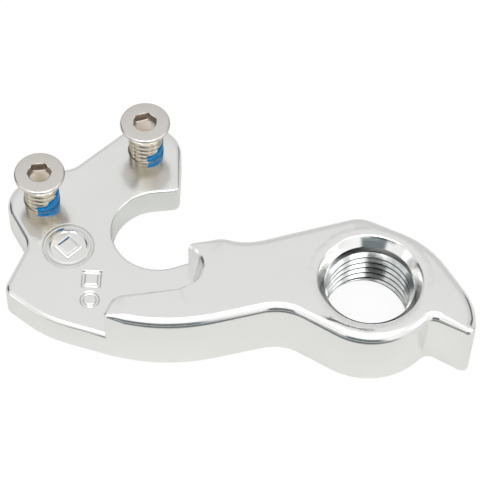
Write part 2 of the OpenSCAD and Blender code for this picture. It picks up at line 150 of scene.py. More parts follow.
# the gloss changes softly over about 7 mm, because the tumbled stones touch some spots more than others
cloud = add_node(tree, "ShaderNodeTexNoise", {"Vector": place, "Scale": 1 / mm(7), "Detail": 4.0})
off_axis = add_node(tree, "ShaderNodeVectorMath", {0: place, 1: FLAT}, operation="MULTIPLY")
off_axis = add_node(tree, "ShaderNodeVectorMath", {0: off_axis.outputs[0]}, operation="LENGTH")
from_axis = off_axis.outputs["Value"]
machined = add_node(
    tree,
    "ShaderNodeMapRange",
    {"Value": from_axis, "From Min": mm(MACHINED_R + MACHINED_EDGE), "From Max": mm(MACHINED_R)},
).outputs[0]
tumbled = add_node(
    tree,
    "ShaderNodeMapRange",
    {
        "Value": cloud.outputs["Fac"],
        "From Min": NOISE_LOW,
        "From Max": NOISE_HIGH,
        "To Min": 0.13,
        "To Max": 0.2,
    },
)
roughness = add_node(
    tree,
    "ShaderNodeMix",
    {SHARE: machined, NUMBER_A: tumbled.outputs[0], NUMBER_B: MACHINED_ROUGHNESS},
)
waves = add_node(
    tree,
    "ShaderNodeBump",
    {"Height": waviness.outputs["Fac"], "Strength": 0.4, "Distance": mm(0.3)},
)
grains = add_node(
    tree,
    "ShaderNodeBump",
    {
        "Height": grain.outputs["Fac"],
        "Strength": 0.15,
        "Distance": mm(0.004),
        "Normal": waves.outputs["Normal"],
    },
)
print("waves and grain for", aluminium.name)

# %% [markdown]
# The solids hold the raised lines of the stamped marks. A stamp also drags down the metal beside its lines,
# which could be sculpted, but a bump is enough for a dip of a tenth of a millimetre. Each dip follows the
# distance from its line: for a ring that is the distance from its middle, and for a square it is the larger
# of the distances along its two sides.

# %% The sunk metal along the marks
DIP_DEPTH = 0.11
# shape, middle, radius or half side, turn in degrees, and how far beside the line the metal sinks
MARKS = (
    ("ring", (-33.6, 5.8), 2.6, 0, 0.5),
    ("square", (-33.6, 5.8), 0.95, 45, 0.3),
    ("square", (-30.7, 1.45), 0.87, 0, 0.35),
    ("ring", (-30.7, -1.25), 0.87, 0, 0.35),
)


def mark_distance(tree, place, shape, middle, turn):
    shifted = {0: place, 1: (mm(middle[0]), mm(middle[1]), 0.0)}
    away = add_node(tree, "ShaderNodeVectorMath", shifted, operation="SUBTRACT")
    away = add_node(tree, "ShaderNodeVectorMath", {0: away.outputs[0], 1: FLAT}, operation="MULTIPLY")
    if shape == "ring":
        away = add_node(tree, "ShaderNodeVectorMath", {0: away.outputs[0]}, operation="LENGTH")
        return away.outputs["Value"]
    turned_away = {"Vector": away.outputs[0], "Angle": math.radians(turn)}
    sides = add_node(tree, "ShaderNodeVectorRotate", turned_away, rotation_type="Z_AXIS")
    sides = add_node(tree, "ShaderNodeVectorMath", {0: sides.outputs[0]}, operation="ABSOLUTE")
    sides = add_node(tree, "ShaderNodeSeparateXYZ", {"Vector": sides.outputs[0]}).outputs
    return add_node(tree, "ShaderNodeMath", {0: sides["X"], 1: sides["Y"]}, operation="MAXIMUM").outputs[0]


# 1 on the line and 0 where the distance from it has grown to the reach
def along_line(tree, distance, line, reach):
    off = add_node(tree, "ShaderNodeMath", {0: distance, 1: mm(line)}, operation="SUBTRACT")
    off = add_node(tree, "ShaderNodeMath", {0: off.outputs[0]}, operation="ABSOLUTE")
    dip = {"Value": off.outputs[0], "From Max": mm(reach), "To Min": 1.0, "To Max": 0.0}
    return add_node(tree, "ShaderNodeMapRange", dip, interpolation_type="SMOOTHSTEP").outputs[0]


sunk = 0.0
for shape, middle, line, turn, reach in MARKS:
    dip = along_line(tree, mark_distance(tree, place, shape, middle, turn), line, reach)
    sunk = add_node(tree, "ShaderNodeMath", {0: sunk, 1: dip}, operation="MAXIMUM").outputs[0]
stamped = add_node(
    tree,
    "ShaderNodeBump",
    {"Height": sunk, "Strength": 1.0, "Distance": mm(DIP_DEPTH), "Normal": grains.outputs["Normal"]},
    invert=True,
)
print("dips along", len(MARKS), "marks")

# %% [markdown]
# Two traces of the tools are left around the derailleur hole. Small nicks follow the countersink's rim,
# because it was cut by hand, and fine turning lines run round the countersink and down the hole. Both are
# bumps again. The turning lines are a sine of the distance from the axis plus the height, so they stay even
# on flat, sloped and upright faces alike.

# %% Nicks, turning lines and the finished metal
RIM_R = 6.45
NICKS_REACH = 0.6
# the real turning lines are about 0.1 mm apart and are drawn at 0.25 mm so that they show
TURNING_PITCH = 0.25
nicks = add_node(tree, "ShaderNodeTexNoise", {"Vector": place, "Scale": 1 / mm(0.7), "Detail": 4.0})
by_the_rim = along_line(tree, from_axis, RIM_R, NICKS_REACH)
nicks = add_node(tree, "ShaderNodeMath", {0: nicks.outputs["Fac"], 1: by_the_rim}, operation="MULTIPLY")
nicked = add_node(
    tree,
    "ShaderNodeBump",
    {
        "Height": nicks.outputs[0],
        "Strength": 1.0,
        "Distance": mm(0.07),
        "Normal": stamped.outputs["Normal"],
    },
)
height = add_node(tree, "ShaderNodeSeparateXYZ", {"Vector": place}).outputs["Z"]
lines = add_node(tree, "ShaderNodeMath", {0: from_axis, 1: height}, operation="ADD")
per_line = 2 * math.pi / mm(TURNING_PITCH)
lines = add_node(tree, "ShaderNodeMath", {0: lines.outputs[0], 1: per_line}, operation="MULTIPLY")
lines = add_node(tree, "ShaderNodeMath", {0: lines.outputs[0]}, operation="SINE")
lines = add_node(tree, "ShaderNodeMath", {0: lines.outputs[0], 1: machined}, operation="MULTIPLY")
turned_lines = add_node(
    tree,
    "ShaderNodeBump",
    {
        "Height": lines.outputs[0],
        "Strength": 0.25,
        "Distance": mm(0.005),
        "Normal": nicked.outputs["Normal"],
    },
)
surface = add_node(
    tree,
    "ShaderNodeBsdfPrincipled",
    {
        "Base Color": linear("#F2F2F0"),
        "Metallic": 1.0,
        "Roughness": roughness.outputs[0],
        "Normal": turned_lines.outputs["Normal"],
    },
)
add_node(tree, "ShaderNodeOutputMaterial", {"Surface": surface.outputs[0]})
print("material:", aluminium.name)

# %% [markdown]
# ## Tapped aluminium
#
# The tap leaves torn, slightly oily metal that no polishing wheel reaches. So the thread of the derailleur
# hole is the same aluminium, only a little greyer, with small tears. It is a material of its own, because
# the thread is a piece of its own.

# %% Tapped aluminium
tapped, tree = new_material("tapped_aluminium")
place = add_node(tree, "ShaderNodeTexCoord").outputs["Object"]
# the tears are about half a millimetre long
torn = add_node(tree, "ShaderNodeTexNoise", {"Vector": place, "Scale": 1 / mm(0.5), "Detail": 4.0})
greys = add_node(tree, "ShaderNodeValToRGB", {"Fac": torn.outputs["Fac"]})
for stop, noise, grey in zip(greys.color_ramp.elements, (NOISE_LOW, NOISE_HIGH), ("#CCD0D0", "#E2E4E2")):
    stop.position = noise
    stop.color = linear(grey)
tears = add_node(
    tree,
    "ShaderNodeBump",
    {"Height": torn.outputs["Fac"], "Strength": 0.4, "Distance": mm(0.012)},
)
surface = add_node(
    tree,
    "ShaderNodeBsdfPrincipled",
    {
        "Base Color": greys.outputs["Color"],
        "Metallic": 1.0,
        "Roughness": 0.16,
        "Normal": tears.outputs["Normal"],
    },
)
add_node(tree, "ShaderNodeOutputMaterial", {"Surface": surface.outputs[0]})
print("material:", tapped.name)

# %% [markdown]
# ## Nickel-plated steel
#
# The screws are cold-headed steel with a thin nickel plating. Nickel is a warmer and slightly darker mirror
# than aluminium, and on a small screw it is satin rather than bright.
#
# The walls of the sockets get a painted shade, a dark brown that stands for the shade inside them. It could be
# a second material on faces of their own, but a mask needs no such faces: it asks where a point lies beside
# the screw's axis and below its head's top.

# %% Painted shade on the walls of the sockets
SOCKET_IN_R = 1.18
SOCKET_OUT_R = 1.55
SHADE_TOP = 0.12
SHADE_H = 1.12
nickel, tree = new_material("nickel_plated_steel")
place = add_node(tree, "ShaderNodeTexCoord").outputs["Object"]
# painted shade: this mask darkens the walls inside the sockets, where shade falls
socket_shade = 0.0
for hole, head_top in ((LEFT_HOLE, LEFT_HEAD_TOP), (RIGHT_HOLE, RIGHT_HEAD_TOP)):
    shifted = {0: place, 1: (mm(hole[0]), mm(hole[1]), mm(head_top - SHADE_TOP))}
    away = add_node(tree, "ShaderNodeVectorMath", shifted, operation="SUBTRACT")
    level = add_node(tree, "ShaderNodeVectorMath", {0: away.outputs[0], 1: FLAT}, operation="MULTIPLY")
    level = add_node(tree, "ShaderNodeVectorMath", {0: level.outputs[0]}, operation="LENGTH")
    reach = level.outputs["Value"]
    rise = add_node(tree, "ShaderNodeSeparateXYZ", {"Vector": away.outputs[0]}).outputs["Z"]
    wall = 1.0
    for value, test, limit in (
        (reach, "GREATER_THAN", SOCKET_IN_R),
        (reach, "LESS_THAN", SOCKET_OUT_R),
        (rise, "LESS_THAN", 0.0),
        (rise, "GREATER_THAN", -SHADE_H),
    ):
        held = add_node(tree, "ShaderNodeMath", {0: value, 1: mm(limit)}, operation=test).outputs[0]
        wall = add_node(tree, "ShaderNodeMath", {0: wall, 1: held}, operation="MULTIPLY").outputs[0]
    socket_shade = add_node(tree, "ShaderNodeMath", {0: socket_shade, 1: wall}, operation="MAXIMUM").outputs[0]
print("mask for the walls of two sockets,", SHADE_H, "mm high")

# %% [markdown]
# Below the heads the shafts are painted darker and a little yellower, as painted shade under the heads, so the
# colour changes with the height. The gloss changes softly over the heads, and a fine grain gives the satin
# look.

# %% The plating
HEADS_ABOVE = 7.8
SHAFTS_BELOW = 7.4
# the gloss changes over about 1.5 mm
cloud = add_node(tree, "ShaderNodeTexNoise", {"Vector": place, "Scale": 1 / mm(1.5), "Detail": 3.0})
satin = add_node(
    tree,
    "ShaderNodeMapRange",
    {
        "Value": cloud.outputs["Fac"],
        "From Min": NOISE_LOW,
        "From Max": NOISE_HIGH,
        "To Min": 0.17,
        "To Max": 0.27,
    },
)
# the real grain of the plating is about 0.01 mm and is drawn at 0.15 mm so that it shows
grain = add_node(tree, "ShaderNodeTexNoise", {"Vector": place, "Scale": 1 / mm(0.15), "Detail": 2.0})
grains = add_node(
    tree,
    "ShaderNodeBump",
    {"Height": grain.outputs["Fac"], "Strength": 0.2, "Distance": mm(0.003)},
)
height = add_node(tree, "ShaderNodeSeparateXYZ", {"Vector": place}).outputs["Z"]
# painted shade: below the heads the shafts are painted darker and yellower
shade_below_heads = add_node(
    tree,
    "ShaderNodeMapRange",
    {"Value": height, "From Min": mm(HEADS_ABOVE), "From Max": mm(SHAFTS_BELOW)},
)
plating = linear("#E0DCD7")
# C6BDAC is painted shade below the heads, and #7E7268 is painted shade on the walls of the sockets
for share, colour in ((shade_below_heads.outputs[0], "#C6BDAC"), (socket_shade, "#7E7268")):
    plating = add_node(
        tree,
        "ShaderNodeMix",
        {SHARE: share, COLOUR_A: plating, COLOUR_B: linear(colour)},
        data_type="RGBA",
    ).outputs[MIXED_COLOUR]
surface = add_node(
    tree,
    "ShaderNodeBsdfPrincipled",
    {
        "Base Color": plating,
        "Metallic": 1.0,
        "Roughness": satin.outputs[0],
        "Normal": grains.outputs["Normal"],
    },
)
add_node(tree, "ShaderNodeOutputMaterial", {"Surface": surface.outputs[0]})
print("material:", nickel.name)

# %% [markdown]
# ## Blue nylon patch
#
# A locking patch is nylon powder melted onto the hot thread. It is a saturated blue plastic with a dull
# gloss. The powder leaves small lumps, and the blue is paler where they are thick.

# %% Blue nylon patch
nylon, tree = new_material("melted_blue_nylon")
place = add_node(tree, "ShaderNodeTexCoord").outputs["Object"]
# a real grain of the powder is about 0.1 mm, and melted lumps are drawn at 0.35 mm so that they show
powder = add_node(tree, "ShaderNodeTexNoise", {"Vector": place, "Scale": 1 / mm(0.35), "Detail": 4.0})
blues = add_node(tree, "ShaderNodeValToRGB", {"Fac": powder.outputs["Fac"]})
for stop, noise, blue in zip(blues.color_ramp.elements, (NOISE_LOW, NOISE_HIGH), ("#0070B2", "#0094DC")):
    stop.position = noise
    stop.color = linear(blue)
lumps = add_node(
    tree,
    "ShaderNodeBump",
    {"Height": powder.outputs["Fac"], "Strength": 0.5, "Distance": mm(0.02)},
)
surface = add_node(
    tree,
    "ShaderNodeBsdfPrincipled",
    {
        "Base Color": blues.outputs["Color"],
        "Roughness": 0.25,
        "IOR": 1.53,
        "Specular IOR Level": 0.08,
        "Normal": lumps.outputs["Normal"],
    },
)
add_node(tree, "ShaderNodeOutputMaterial", {"Surface": surface.outputs[0]})
print("material:", nylon.name)

# %% [markdown]
# ## Putting a piece in the scene
#
# Every piece is a mesh whose place is in its points. It rides on the part's only body and takes one
# material as its finish. Its faces are smooth, apart from the edges that turn by more than a
# given angle.


# %% Helpers for a finished piece
def new_object(name, data):
    made = bpy.data.objects.new(name, data)
    bpy.context.scene.collection.objects.link(made)
    return made


def put_in_scene(name, mesh, material, slot, *replaced):
    piece = new_object(name, mesh)
    mesh.materials.clear()
    mesh.materials.append(material)
    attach(piece, "root")
    if replaced:
        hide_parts(*replaced)
    mesh.calc_loop_triangles()
    print(name, len(mesh.loop_triangles), "triangles")
    return piece


def shade_by_angle(mesh, degrees):
    shape = bmesh.new()
    shape.from_mesh(mesh)
    for face in shape.faces:
        face.smooth = True
    for edge in shape.edges:
        edge.smooth = edge.calc_face_angle(math.pi) < math.radians(degrees)
    shape.to_mesh(mesh)
    shape.free()


# %% [markdown]
# ## The hanger
#
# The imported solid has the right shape, but it comes as loose flat triangles, which a polished metal shows at
# once. A copy of it is merged into one skin and shaded smooth, with its real corners kept sharp. The
# weighted normals let the large flat faces stay flat, so that only the rounded edges turn the reflections.
#
# The solid has plain rings in the derailleur hole. They stand for the turns of its thread, so their points
# are pushed back to the thread's root here, and a true helix is cut in the next step. At the back the hole
# ends in a small chamfer, so the points there are pushed a little further.

# %% The hanger's smooth skin
ROOT_R = 5.0
BACK_CHAMFER = 0.3
NEAR_BACK = 0.1
# points closer than the first are merged, and points this near the wall already belong to it
MERGE_WITHIN = 0.002
WALL_WITHIN = 0.01
HANGER_SHARP_FROM = 28
skin = solids["hanger"].data.copy()
shape = bmesh.new()
shape.from_mesh(skin)
before = len(shape.verts)
bmesh.ops.remove_doubles(shape, verts=shape.verts, dist=mm(MERGE_WITHIN))
pushed = 0
for vert in shape.verts:
    radius = vert.co.xy.length
    if radius < mm(ROOT_R - WALL_WITHIN):
        at_back = vert.co.z < mm(NEAR_BACK)
        vert.co.xy *= mm(ROOT_R + BACK_CHAMFER if at_back else ROOT_R) / radius
        pushed += 1
open_edges = sum(1 for edge in shape.edges if not edge.is_manifold)
shape.to_mesh(skin)
shape.free()
print("hanger:", before, "points merged to", len(skin.vertices), "with", open_edges, "open edges")
print(pushed, "points of the rings pushed back to the hole's wall")
shade_by_angle(skin, HANGER_SHARP_FROM)
hanger = put_in_scene("polished_hanger", skin, aluminium, "alloy", "hanger")
flatten = hanger.modifiers.new("weighted normals", "WEIGHTED_NORMAL")
flatten.keep_sharp = True
flatten.weight = 100

# %% [markdown]
# ## Threads
#
# A thread is one ridge of a constant section that follows a helix. Geometry Nodes draw the helix with the
# spiral curve, sweep a four-cornered section along it and let the ridge run out at both ends. The same tree
# makes the M10 x 1 thread of the derailleur hole, with its ridge pointing inwards, and the M4 x 0.7 thread
# of the screws.


# %% The thread tree
def thread_tree():
    group = bpy.data.node_groups.new("thread_ridge", "GeometryNodeTree")
    face = group.interface
    for name in ("Root Radius", "Ridge", "Pitch", "Turns", "Root Width", "Crest Width", "Run Out"):
        face.new_socket(name=name, in_out="INPUT", socket_type="NodeSocketFloat")
    face.new_socket(name="Steps", in_out="INPUT", socket_type="NodeSocketInt")
    face.new_socket(name="Metal", in_out="INPUT", socket_type="NodeSocketMaterial")
    face.new_socket(name="Geometry", in_out="OUTPUT", socket_type="NodeSocketGeometry")
    given = add_node(group, "NodeGroupInput").outputs
    rise = add_node(group, "ShaderNodeMath", {0: given["Pitch"], 1: given["Turns"]}, operation="MULTIPLY")
    helix = add_node(
        group,
        "GeometryNodeCurveSpiral",
        {
            "Resolution": given["Steps"],
            "Rotations": given["Turns"],
            "Start Radius": given["Root Radius"],
            "End Radius": given["Root Radius"],
            "Height": rise.outputs[0],
        },
    )
    level = add_node(group, "GeometryNodeSetCurveNormal", {"Curve": helix.outputs[0]}, mode="Z_UP")
    # the ridge grows over the first share of the helix and shrinks over the last, but never to nothing, so
    # that its ends stay closed
    along = add_node(group, "GeometryNodeSplineParameter").outputs["Factor"]
    back = add_node(group, "ShaderNodeMath", {0: 1.0, 1: along}, operation="SUBTRACT")
    nearest = add_node(group, "ShaderNodeMath", {0: along, 1: back.outputs[0]}, operation="MINIMUM")
    growth = add_node(
        group,
        "ShaderNodeMapRange",
        {"Value": nearest.outputs[0], "From Max": given["Run Out"], "To Min": 0.02, "To Max": 1.0},
    )
    # the section's x axis points towards the helix's own axis, so a ridge that points outwards has its
    # crest at x below 0
    crest = add_node(group, "ShaderNodeMath", {0: given["Ridge"], 1: -1.0}, operation="MULTIPLY").outputs[0]
    corners = {}
    for point, x, width, share in (
        ("Point 1", 0.0, "Root Width", -0.5),
        ("Point 2", crest, "Crest Width", -0.5),
        ("Point 3", crest, "Crest Width", 0.5),
        ("Point 4", 0.0, "Root Width", 0.5),
    ):
        y = add_node(group, "ShaderNodeMath", {0: given[width], 1: share}, operation="MULTIPLY")
        corner = add_node(group, "ShaderNodeCombineXYZ", {"X": x, "Y": y.outputs[0]})
        corners[point] = corner.outputs[0]
    section = add_node(group, "GeometryNodeCurvePrimitiveQuadrilateral", corners, mode="POINTS")
    ridge = add_node(
        group,
        "GeometryNodeCurveToMesh",
        {
            "Curve": level.outputs[0],
            "Profile Curve": section.outputs[0],
            "Scale": growth.outputs[0],
            "Fill Caps": True,
        },
    )
    whole = add_node(group, "GeometryNodeRealizeInstances", {"Geometry": ridge.outputs[0]})
    painted = add_node(
        group,
        "GeometryNodeSetMaterial",
        {"Geometry": whole.outputs[0], "Material": given["Metal"]},
    )
    add_node(group, "NodeGroupOutput", {"Geometry": painted.outputs[0]})
    return group


THREAD = thread_tree()
print("thread tree with", len(THREAD.nodes), "nodes")

# %% [markdown]
# The tree's result is turned into a plain mesh and moved to its hole. Its faces are turned outwards, and the
# sign of its volume tells whether that worked. Its smallest and largest radius are printed, because they
# tell at a glance whether the ridge has the right depth.
#
# The thread of the derailleur hole starts half a millimetre above the back face, and the place where it
# starts is turned to where it hardly shows. Its flanks are flat, so their edges stay sharp.


# %% The thread of the derailleur hole
def face_outwards(shape):
    bmesh.ops.recalc_face_normals(shape, faces=shape.faces)
    if shape.calc_volume(signed=True) < 0:
        bmesh.ops.reverse_faces(shape, faces=shape.faces)


def cut_thread(name, centre, start_z, first_turn, sharp_from, sizes):
    carrier = new_object(name, bpy.data.meshes.new(name))
    modifier = carrier.modifiers.new("thread", "NODES")
    modifier.node_group = THREAD
    for item in THREAD.interface.items_tree:
        if item.in_out == "INPUT":
            modifier[item.identifier] = sizes[item.name]
    looked_at = carrier.evaluated_get(bpy.context.evaluated_depsgraph_get())
    mesh = bpy.data.meshes.new_from_object(looked_at)
    bpy.data.objects.remove(carrier)
    radii = [round(1000 * vert.co.xy.length, 3) for vert in mesh.vertices]
    print(name, "radius", min(radii), "to", max(radii), "mm")
    mesh.transform(Matrix.Rotation(math.radians(first_turn), 4, "Z"))
    mesh.transform(Matrix.Translation((mm(centre[0]), mm(centre[1]), mm(start_z))))
    shape = bmesh.new()
    shape.from_mesh(mesh)
    face_outwards(shape)
    shape.to_mesh(mesh)
    shape.free()
    shade_by_angle(mesh, sharp_from)
    return mesh


HOLE_CREST_R = 4.55
HOLE_THREAD_LOW = 0.5
HOLE_FIRST_TURN = 117
HOLE_SHARP_FROM = 30
HOLE_SIZES = {
    "Root Radius": mm(ROOT_R),
    "Ridge": mm(HOLE_CREST_R - ROOT_R),
    "Pitch": mm(1.0),
    "Turns": 5.6,
    "Root Width": mm(0.86),
    "Crest Width": mm(0.22),
    "Run Out": 0.04,
    "Steps": 96,
    "Metal": tapped,
}
hole_thread = cut_thread(
    "hole_thread", (0, 0), HOLE_THREAD_LOW, HOLE_FIRST_TURN, HOLE_SHARP_FROM, HOLE_SIZES
)
put_in_scene("hole_thread", hole_thread, tapped, "alloy")

# %% [markdown]
# ## Screws
#
# Each screw has a flat head with a short straight rim, a cone below it and a hexagon socket. A turned body
# could be a stack of cylinders and cones, but then its edges couldn't be rounded. So it comes from a profile
# that is spun around the axis, with small arcs at the rim of the head.


# %% Turned bodies
def mesh_from(shape, name):
    mesh = bpy.data.meshes.new(name)
    shape.to_mesh(mesh)
    shape.free()
    return mesh


def turned(name, profile, steps=96):
    shape = bmesh.new()
    rings = []
    for radius, z in profile:
        if radius == 0:
            rings.append([shape.verts.new((0, 0, mm(z)))])
            continue
        turns = [2 * math.pi * i / steps for i in range(steps)]
        ring = [(mm(radius) * math.cos(turn), mm(radius) * math.sin(turn), mm(z)) for turn in turns]
        rings.append([shape.verts.new(point) for point in ring])
    for upper, lower in zip(rings, rings[1:]):
        for i in range(steps):
            j = (i + 1) % steps
            pairs = (upper, i), (lower, i), (lower, j), (upper, j)
            corners = [ring[number % len(ring)] for ring, number in pairs]
            # at the axis two corners are the same point, which a face may hold only once
            shape.faces.new(list(dict.fromkeys(corners)))
    face_outwards(shape)
    return mesh_from(shape, name)


def rounded_corner(centre, radius, first, last, steps=6):
    turns = [math.radians(first + (last - first) * k / steps) for k in range(steps + 1)]
    return [(centre[0] + radius * math.cos(t), centre[1] + radius * math.sin(t)) for t in turns]


print("a quarter turn at a corner takes", len(rounded_corner((0, 0), 1, 90, 0)), "points")

# %% [markdown]
# The screw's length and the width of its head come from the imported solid, and the rest is what an M4 flat
# head has. The profile starts at the middle of the head's top and goes down to the middle of the point. The
# shaft is drawn at the thread's core, because the ridge of the thread is added to it later.

# %% The screw's profile
screw_low, screw_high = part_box("left_screw")
SCREW_L = in_mm(screw_high.z - screw_low.z)
HEAD_R = in_mm(screw_high.x - screw_low.x) / 2
SHAFT_R = 1.95
CORE_R = 1.55
RIM_H = 0.5
CONE_H = 0.9
TOP_ROUND = 0.28
LOW_ROUND = 0.1
NECK_R = SHAFT_R - 0.05
NECK_TAPER = 0.3
POINT_R = 1.5
POINT_H = 0.35
NECK_Z = -RIM_H - CONE_H
SCREW_PROFILE = (
    [(0, 0)]
    + rounded_corner((HEAD_R - TOP_ROUND, -TOP_ROUND), TOP_ROUND, 90, 0)
    + rounded_corner((HEAD_R - LOW_ROUND, -RIM_H + LOW_ROUND), LOW_ROUND, 0, -60)
    + [(NECK_R, NECK_Z), (CORE_R, NECK_Z - NECK_TAPER)]
    + [(CORE_R, -SCREW_L + POINT_H), (POINT_R, -SCREW_L), (0, -SCREW_L)]
)
print("screw profile with", len(SCREW_PROFILE), "points")
print("screw", SCREW_L, "mm long with a head", round(2 * HEAD_R, 2), "mm across")

# %% [markdown]
# The boolean modifier cuts the socket out of the head with three tools, as the heading punch does: a
# hexagonal prism, a cone at its bottom, and a wider cone at its mouth. Its flats are 2.5 mm apart, the size
# of the key that fits an M4 flat head, and the bevel at the mouth is what catches the light.


# %% The socket
SOCKET_R = 2.5 / 2
SOCKET_DEPTH = 1.3
DRILL_R = 0.97 * SOCKET_R
DRILL_DEPTH = 1.8
MOUTH_R = SOCKET_R - 0.01
MOUTH_DEPTH = 0.1
# the tools stick out of the head, so that no thin skin stays over the socket, and overlap each other
PUNCH_ABOVE = 0.5
MOUTH_ABOVE = 0.3
OVERLAP = 0.02


def cut_socket(name, turn):
    corner_r = SOCKET_R / math.cos(math.pi / 6)
    prism = [(0, PUNCH_ABOVE), (corner_r, PUNCH_ABOVE), (corner_r, -SOCKET_DEPTH), (0, -SOCKET_DEPTH)]
    punch = turned(name + "_punch", prism, steps=6)
    punch.transform(Matrix.Rotation(math.radians(turn), 4, "Z"))
    cone_top = -SOCKET_DEPTH + OVERLAP
    cone = [(0, cone_top), (DRILL_R, cone_top), (0, -DRILL_DEPTH)]
    drill = turned(name + "_drill", cone, steps=48)
    # the mouth widens as fast as it rises, at 45 degrees
    wide_r = MOUTH_R + MOUTH_DEPTH + MOUTH_ABOVE
    bevel = [(0, MOUTH_ABOVE), (wide_r, MOUTH_ABOVE), (MOUTH_R, -MOUTH_DEPTH), (0, -MOUTH_DEPTH)]
    mouth = turned(name + "_mouth", bevel, steps=48)
    body = new_object(name, turned(name, SCREW_PROFILE))
    tools = [new_object(tool.name, tool) for tool in (punch, drill, mouth)]
    for tool in tools:
        cut = body.modifiers.new(tool.name, "BOOLEAN")
        cut.operation = "DIFFERENCE"
        cut.solver = "EXACT"
        cut.object = tool
    looked_at = body.evaluated_get(bpy.context.evaluated_depsgraph_get())
    mesh = bpy.data.meshes.new_from_object(looked_at)
    for extra in [body, *tools]:
        bpy.data.objects.remove(extra)
    return mesh


print("socket", 2 * SOCKET_R, "mm across its flats and", SOCKET_DEPTH, "mm deep")

# %% [markdown]
# The ridge of the M4 thread is cut like that of the hole, only pointing outwards, and is then joined to the
# turned body. It starts just above the screw's point and ends below the head's cone.

# %% The two screws
SCREW_PITCH = 0.7
# how far above the screw's end the ridge starts, and what length of the shaft it leaves plain
THREAD_LOW = 0.4
PLAIN_L = 0.75
HEAD_SHARP_FROM = 32
# the flanks of the small ridge are shaded into each other, as on a worn thread
THREAD_SHARP_FROM = 80
SCREW_SIZES = {
    "Root Radius": mm(CORE_R),
    "Ridge": mm(SHAFT_R - CORE_R),
    "Pitch": mm(SCREW_PITCH),
    "Turns": (SCREW_L - RIM_H - CONE_H - PLAIN_L) / SCREW_PITCH,
    "Root Width": mm(0.66),
    "Crest Width": mm(0.12),
    "Run Out": 0.05,
    "Steps": 64,
    "Metal": nickel,
}


def screw_mesh(name, centre, head_top, socket_turn):
    mesh = cut_socket(name, socket_turn)
    mesh.transform(Matrix.Translation((mm(centre[0]), mm(centre[1]), mm(head_top))))
    shade_by_angle(mesh, HEAD_SHARP_FROM)
    start_z = head_top - SCREW_L + THREAD_LOW
    ridge = cut_thread(name + "_thread", centre, start_z, 0, THREAD_SHARP_FROM, SCREW_SIZES)
    shape = bmesh.new()
    shape.from_mesh(mesh)
    shape.from_mesh(ridge)
    shape.to_mesh(mesh)
    shape.free()
    return mesh


# how far each socket is turned about its screw's axis, in degrees
LEFT_SOCKET_TURN, RIGHT_SOCKET_TURN = 8, 20
left_screw = screw_mesh("left_screw_steel", LEFT_HOLE, LEFT_HEAD_TOP, LEFT_SOCKET_TURN)
put_in_scene("left_screw_steel", left_screw, nickel, "screw_steel", "left_screw")
right_screw = screw_mesh("right_screw_steel", RIGHT_HOLE, RIGHT_HEAD_TOP, RIGHT_SOCKET_TURN)
put_in_scene("right_screw_steel", right_screw, nickel, "screw_steel", "right_screw")

# %% [markdown]
# ## Locking patches
#
# The nylon follows the thread below it, so its skin has the same waves, only shallower, and its border is
# uneven because powder was sprayed and not moulded. It could be the solid's plain shell, but then it would
# look like a sticker. A grid of points over the angle and the height gives the outer skin; the inner skin
# lies inside the thread, and a strip closes the border.

# %% How thick a patch is
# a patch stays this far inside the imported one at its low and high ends
MARGIN = 0.01
patch_low, patch_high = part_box("left_thread_patch")
PATCH_LOW = in_mm(patch_low.z) + MARGIN
PATCH_TOP = in_mm(patch_high.z) - MARGIN
PATCH_OUT_R = SHAFT_R + 0.1
PATCH_IN_R = CORE_R + 0.05
PATCH_BACK_R = PATCH_IN_R - 0.1
# the thickness that the waves leave in the grooves, as a share of that on the crests
GROOVE_SHARE = 0.84
UNEVEN = 0.09
COLUMNS, ROWS = 72, 40
# the patch thins out over this share of its sweep, and over this many rows of points
THIN_SIDE = 1 / 20
THIN_ROWS = 2
PATCH_SHARP_FROM = 50


def patch_radius(share, row, turn, above_start):
    wave = (above_start / SCREW_PITCH - turn / (2 * math.pi)) % 1
    crest = 1 - 2 * min(wave, 1 - wave)
    from_side = min(share, 1 - share) / THIN_SIDE
    from_end = min(row, ROWS - row) / THIN_ROWS
    lift = min(1, from_side, from_end)
    return PATCH_IN_R + (PATCH_OUT_R - PATCH_IN_R) * lift * (GROOVE_SHARE + (1 - GROOVE_SHARE) * crest)


print("patches from", PATCH_LOW, "to at most", PATCH_TOP, "mm above the back face")

# %% [markdown]
# Each patch starts and ends at an angle around its screw, and its top climbs from left to right, as the
# powder ran on the slanting thread. The unevenness of the top comes from random draws with a fixed seed,
# smoothed over five neighbours.

# %% The two patches
SEED = 7
NEIGHBOURS = 5
# draws beyond each side, so that the smoothing has whole neighbourhoods to work on
BEYOND = 4
# the angles in degrees, counted from +X, between which each patch lies
LEFT_SWEEP = (-105, 35)
RIGHT_SWEEP = (-85, 55)


